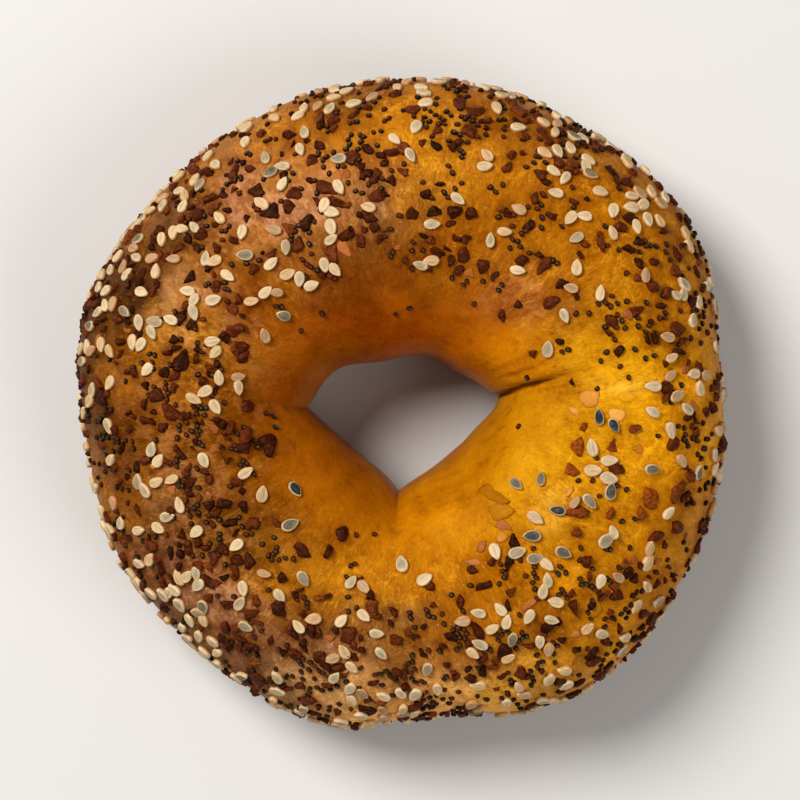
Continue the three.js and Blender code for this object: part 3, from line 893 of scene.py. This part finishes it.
class Finish:
    # A material being wired: node() adds any node, its settings first and then its sockets
    def __init__(self, name):
        self.material = bpy.data.materials.new(name)
        self.material.use_nodes = True
        self.tree = self.material.node_tree
        self.tree.nodes.clear()
        self.place = self.node("ShaderNodeTexCoord", output="Object")

    def node(self, kind, settings=None, inputs=None, output=0):
        made = self.tree.nodes.new(kind)
        for label, value in (settings or {}).items():
            setattr(made, label, value)
        for label, value in (inputs or {}).items():
            if isinstance(value, Wire):
                self.tree.links.new(value.socket, made.inputs[label])
            elif isinstance(value, tuple) and made.inputs[label].type == "RGBA":
                made.inputs[label].default_value = (*value, 1)
            else:
                made.inputs[label].default_value = value
        return Wire(self, made.outputs[output]) if len(made.outputs) else made

    def attribute(self, name, output="Fac"):
        return self.node("ShaderNodeAttribute", {"attribute_name": name}, output=output)

    def attributes(self, *names):
        return [self.attribute(name) for name in names]

    def noise(self, scale, detail, roughness, place=None):
        return self.node("ShaderNodeTexNoise", None, {
            "Vector": place or self.place, "Scale": scale, "Detail": detail, "Roughness": roughness})

    def ramp(self, factor, *stops):
        # Each stop is a position and a colour, or a number for a grey
        made = self.node("ShaderNodeValToRGB", None, {0: factor})
        elements = made.socket.node.color_ramp.elements
        while len(elements) < len(stops):
            elements.new(1)
        for element, (position, colour) in zip(elements, stops):
            colour = colour if isinstance(colour, tuple) else (colour,) * 3
            element.position = position
            element.color = (*colour, 1)
        return made

    def step(self, value, low, high):
        # 0 below low, 1 above high, smooth between
        return self.node("ShaderNodeMapRange", {"interpolation_type": "SMOOTHSTEP"}, {
            "Value": value, "From Min": low, "From Max": high})

    def mix(self, factor, first, second, blend="MIX"):
        settings = {"data_type": "RGBA", "blend_type": blend}
        return self.node("ShaderNodeMix", settings, {0: factor, 6: first, 7: second}, output=2)

    def dye(self, factor, first, tint):
        # The colour multiplied by a tint, as far as factor says
        return self.mix(factor, first, tint, "MULTIPLY")

    def surface(self, colour, roughness, bumps=None, specular=0.5, tint=(1, 1, 1)):
        # Bumps are a height, its strength and what it is worth in mm
        inputs = {
            "Base Color": colour, "Roughness": roughness,
            "Specular IOR Level": specular, "Specular Tint": tint}
        if bumps:
            height, strength, distance = bumps
            inputs["Normal"] = self.node("ShaderNodeBump", None, {
                "Height": height, "Strength": strength, "Distance": distance * metresPerMm})
        shader = self.node("ShaderNodeBsdfPrincipled", None, inputs)
        self.node("ShaderNodeOutputMaterial", None, {"Surface": shader})
        return self.material


def crustFinish():
    look = Finish("bakedCrust")
    # the tinted colour of the crust, with the painted shade and light that some tints hold
    bakeAndLight = look.attribute("bakeAndLight", "Color")
    # the pinkish share and the patches carry painted sheen over a duller skin, the crowding of flakes a
    # darkening that is partly browning and partly painted shade
    gloss, bloomAndSheen, frostAndSheen, stainAndShade = look.attributes("gloss", "bloomAndSheen", "frostAndSheen", "stainAndShade")
    streakPlace = look.attribute("streak", "Vector")
    mottle = look.noise(330, 6, 0.68)
    cloud = look.noise(75, 4, 0.6)
    grain = look.noise(1300, 3, 0.65)
    streak = look.noise(1.15, 5, 0.68, streakPlace)
    fineStreak = look.noise(3.2, 3, 0.6, streakPlace)
    deeper = look.dye(look.step(cloud, 0.42, 0.66) * 0.5, bakeAndLight, (0.62, 0.5, 0.42))
    shaded = look.dye(look.step(mottle, 0.5, 0.7) * 0.6, deeper, (0.6, 0.45, 0.35))
    lighter = look.dye(look.step(mottle, 0.5, 0.3) * 0.5, shaded, (1.3, 1.35, 1.3))
    flecked = look.dye(look.step(grain, 0.56, 0.72) * 0.4, lighter, (1.5, 1.6, 1.5))
    # painted sheen: paler, pinkish patches over a duller skin
    patches = look.step(look.noise(310, 3, 0.6), 0.46, 0.59) * frostAndSheen
    frostAndSheenColour = look.mix(0.35, look.dye(1, bakeAndLight, (1.8, 2.2, 3.8)), (0.44, 0.21, 0.11))
    frostedAndSheened = look.mix(patches * 0.72, flecked, frostAndSheenColour)
    # darker round the onion flakes, partly browning and partly painted shade
    stainedAndShaded = look.dye(stainAndShade * 0.7, frostedAndSheened, (0.55, 0.42, 0.36))
    golden = 0.35 + look.step(look.attribute("bakeAndLight"), 0.02, 0.16) * 0.65
    # paler streaks along the wrinkles, partly paler crust and partly painted highlight
    paleStreaksAndSheen = look.step(streak, 0.5, 0.7) * (0.34 + bloomAndSheen * 0.3) * (1 - gloss * 0.8) * golden
    brighter = look.dye(1, bakeAndLight, (1.5, 1.6, 1.5))
    dash = look.mix(0.5, brighter, look.mix(bloomAndSheen, (0.68, 0.32, 0.004), (0.72, 0.38, 0.18)))
    streaked = look.mix(paleStreaksAndSheen, stainedAndShaded, dash)
    rough = 1 - gloss * 0.93
    net = look.noise(240, 1.2, 0.5) - 0.5
    fibre = look.noise(1, 1.5, 0.5, streakPlace) - 0.5
    veins = look.step(net * net, 0.0014, 0) * 0.4 + look.step(fibre * fibre, 0.0014, 0) * 0.5
    # pale veins on the raised ridges, partly paler crust and partly painted highlight
    tint = look.mix(bloomAndSheen, (0.86, 0.45, 0.06), (0.78, 0.45, 0.24))
    pale = look.mix(0.3, look.dye(1, streaked, (1.8, 2, 2.3)), tint)
    veined = look.mix(veins * look.step(cloud, 0.6, 0.4) * rough * golden * 0.6, streaked, pale)
    cracks = look.noise(340, 1.5, 0.5) - 0.5
    cracked = look.dye(look.step(cracks * cracks, 0.0012, 0) * rough * 0.3, veined, (0.6, 0.42, 0.34))
    glints = look.step(look.noise(1700, 1, 0.5), 0.7, 0.78)
    sparkled = look.mix(glints * rough * 0.2, cracked, (0.92, 0.62, 0.3))
    # painted shade in the grooves of the streaks
    grooveShade = look.step(streak, 0.46, 0.3) * (1 - gloss * 0.85) * 0.5
    grooveShaded = look.dye(grooveShade, sparkled, (0.45, 0.32, 0.25))
    roughness = 0.42 + grain * 0.12 + bloomAndSheen * 0.15 - gloss * 0.14
    skin = streak * 0.7 + fineStreak * 0.5 + mottle * 0.4
    height = skin * (1 - gloss * 0.85) + grain * 0.3 + veins * 0.15
    return look.surface(grooveShaded, roughness, (height, 0.75, 0.4), 0.14, (1, 0.72, 0.2))


def sesameFinish():
    look = Finish("toastedSesame")
    heart, shade, dark = look.attributes("heart", "shade", "dark")
    cloud = look.noise(900, 4, 0.6)
    husk = look.ramp(
        shade, (0, (0.6, 0.43, 0.25)), (0.25, (0.67, 0.51, 0.32)), (0.6, (0.62, 0.45, 0.26)),
        (0.86, (0.62, 0.39, 0.19)), (0.95, (0.5, 0.24, 0.1)), (1, (0.55, 0.31, 0.14)))
    inside = look.ramp(
        shade, (0, (0.4, 0.33, 0.21)), (0.15, (0.6, 0.45, 0.27)), (0.38, (0.59, 0.44, 0.26)),
        (0.5, (0.37, 0.31, 0.2)), (0.62, (0.58, 0.43, 0.26)), (0.85, (0.56, 0.38, 0.2)),
        (1, (0.36, 0.24, 0.13)))
    coreStrength = look.ramp(
        shade, (0, 0.6), (0.15, 0.1), (0.38, 0.1), (0.5, 0.7), (0.62, 0.2), (0.85, 0.2), (1, 0.5))
    middle = look.step(heart + cloud * 0.25, 0.16, 0.6)
    plain = look.mix(middle * 0.9, husk, inside)
    core = look.step(heart + cloud * 0.5, 0.62, 1.1)
    cored = look.mix(core * coreStrength, plain, (0.24, 0.24, 0.19))
    darkMiddle = look.step(heart + cloud * 0.2, 0.2, 0.38)
    darkTone = look.mix(look.step(cloud, 0.45, 0.7), (0.02, 0.026, 0.026), (0.13, 0.14, 0.125))
    darkened = look.mix(darkMiddle * dark, cored, darkTone)
    greyRim = look.dye(dark * 0.4, darkened, (0.6, 0.58, 0.5))
    speckled = look.dye(look.step(cloud, 0.55, 0.7) * 0.25, greyRim, (0.8, 0.7, 0.55))
    fibre = look.noise(1, 3, 0.6, look.attribute("fibre", "Vector"))
    streaked = look.dye(look.step(fibre, 0.48, 0.6) * 0.6, speckled, (0.74, 0.64, 0.5))
    lit = look.dye(look.step(fibre, 0.46, 0.34) * 0.6, streaked, (1.18, 1.16, 1.12))
    return look.surface(lit, 0.5 + cloud * 0.15, (cloud + fibre, 0.35, 0.12), 0.3)


def poppyFinish():
    look = Finish("poppyHusk")
    spot, shade = look.attributes("spot", "shade")
    cells = look.noise(3200, 2, 0.5)
    husk = look.ramp(
        shade, (0, (0.018, 0.011, 0.007)), (0.5, (0.034, 0.013, 0.006)), (1, (0.07, 0.02, 0.006)))
    pale = look.ramp(
        shade, (0, (0.11, 0.1, 0.075)), (0.25, (0.1, 0.058, 0.032)), (1, (0.13, 0.045, 0.015)))
    # a paler top on each seed, partly paler husk and partly painted highlight
    coloured = look.mix(look.step(spot + cells * 0.3, 0.45, 0.95) * 0.8, husk, pale)
    return look.surface(coloured, 0.42 + cells * 0.2, (cells, 0.5, 0.08), 0.14, (1, 0.8, 0.6))


def onionFinish():
    look = Finish("roastedOnion")
    edge, tone = look.attributes("edge", "tone")
    folds = look.noise(950, 4, 0.65)
    body = look.ramp(
        tone, (0, (0.026, 0.007, 0.002)), (0.24, (0.056, 0.013, 0.003)), (0.52, (0.094, 0.021, 0.004)),
        (0.75, (0.13, 0.031, 0.007)), (0.86, (0.19, 0.052, 0.01)), (0.93, (0.25, 0.06, 0.006)),
        (1, (0.38, 0.12, 0.008)))
    lit = look.mix(look.step(folds, 0.5, 0.68) * 0.35, body, (0.2, 0.055, 0.015))
    edged = look.dye(edge * 0.4, lit, (1.5, 1.25, 1.1))
    specks = look.noise(1700, 3, 0.6)
    charred = look.dye(look.step(specks, 0.48, 0.6) * 0.7, edged, (0.42, 0.28, 0.2))
    return look.surface(charred, 0.34 + folds * 0.2, (folds + specks * 0.6, 0.9, 0.4), 0.15, (1, 0.78, 0.6))


def garlicFinish():
    look = Finish("toastedGarlic")
    edge, tone = look.attributes("edge", "tone")
    folds = look.noise(800, 4, 0.6)
    body = look.ramp(
        tone, (0, (0.33, 0.12, 0.001)), (0.2, (0.4, 0.16, 0.004)), (0.45, (0.42, 0.16, 0.02)),
        (0.75, (0.66, 0.32, 0.07)), (0.9, (0.38, 0.13, 0.038)), (1, (0.27, 0.085, 0.026)))
    lit = look.dye(look.step(folds, 0.5, 0.72) * 0.6, body, (1.3, 1.35, 1.3))
    edged = look.dye(edge * 0.3, lit, (0.9, 0.8, 0.7))
    return look.surface(edged, 0.4 + folds * 0.15, (folds, 0.5, 0.25), 0.1, (1, 0.8, 0.4))


def floorFinish():
    return Finish("paleFloor").surface(studio["floorColour"], 0.85)


# Putting it together

def addFloor():
    # A large square that the bagel lies on
    half = studio["floorSize"] / 2
    mesh = bpy.data.meshes.new("floor")
    corners = [(-half, -half, 0), (half, -half, 0), (half, half, 0), (-half, half, 0)]
    mesh.from_pydata(corners, [], [(0, 1, 2, 3)])
    floor = addObject("floor", mesh)
    floor.data.materials.append(floorFinish())


addCamera()
addStudio()
addFloor()
print("studio ready")

laid = []  # middle and radius of each topping so far
flakes = joined(placeByHand("onion", laid), scatter("onion", onion, 0, laid))
crustPiece = makeCrust(flakes)
crustPiece.data.materials.append(crustFinish())
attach(crustPiece, "root")
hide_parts("bagel")
print("crust ready")

onionPiece = makeChips("onionFlakes", onion, flakes)
sesamePiece = makeSesame(laid)
bits = joined(placeByHand("garlic", laid), scatter("garlic", garlic, 0, laid))
garlicPiece = makeChips("garlicBits", garlic, bits)
poppyPiece = makePoppy(laid)
for piece, material in (
        (onionPiece, onionFinish()), (sesamePiece, sesameFinish()),
        (garlicPiece, garlicFinish()), (poppyPiece, poppyFinish())):
    piece.data.materials.append(material)
    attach(piece, "root")
print("toppings ready")
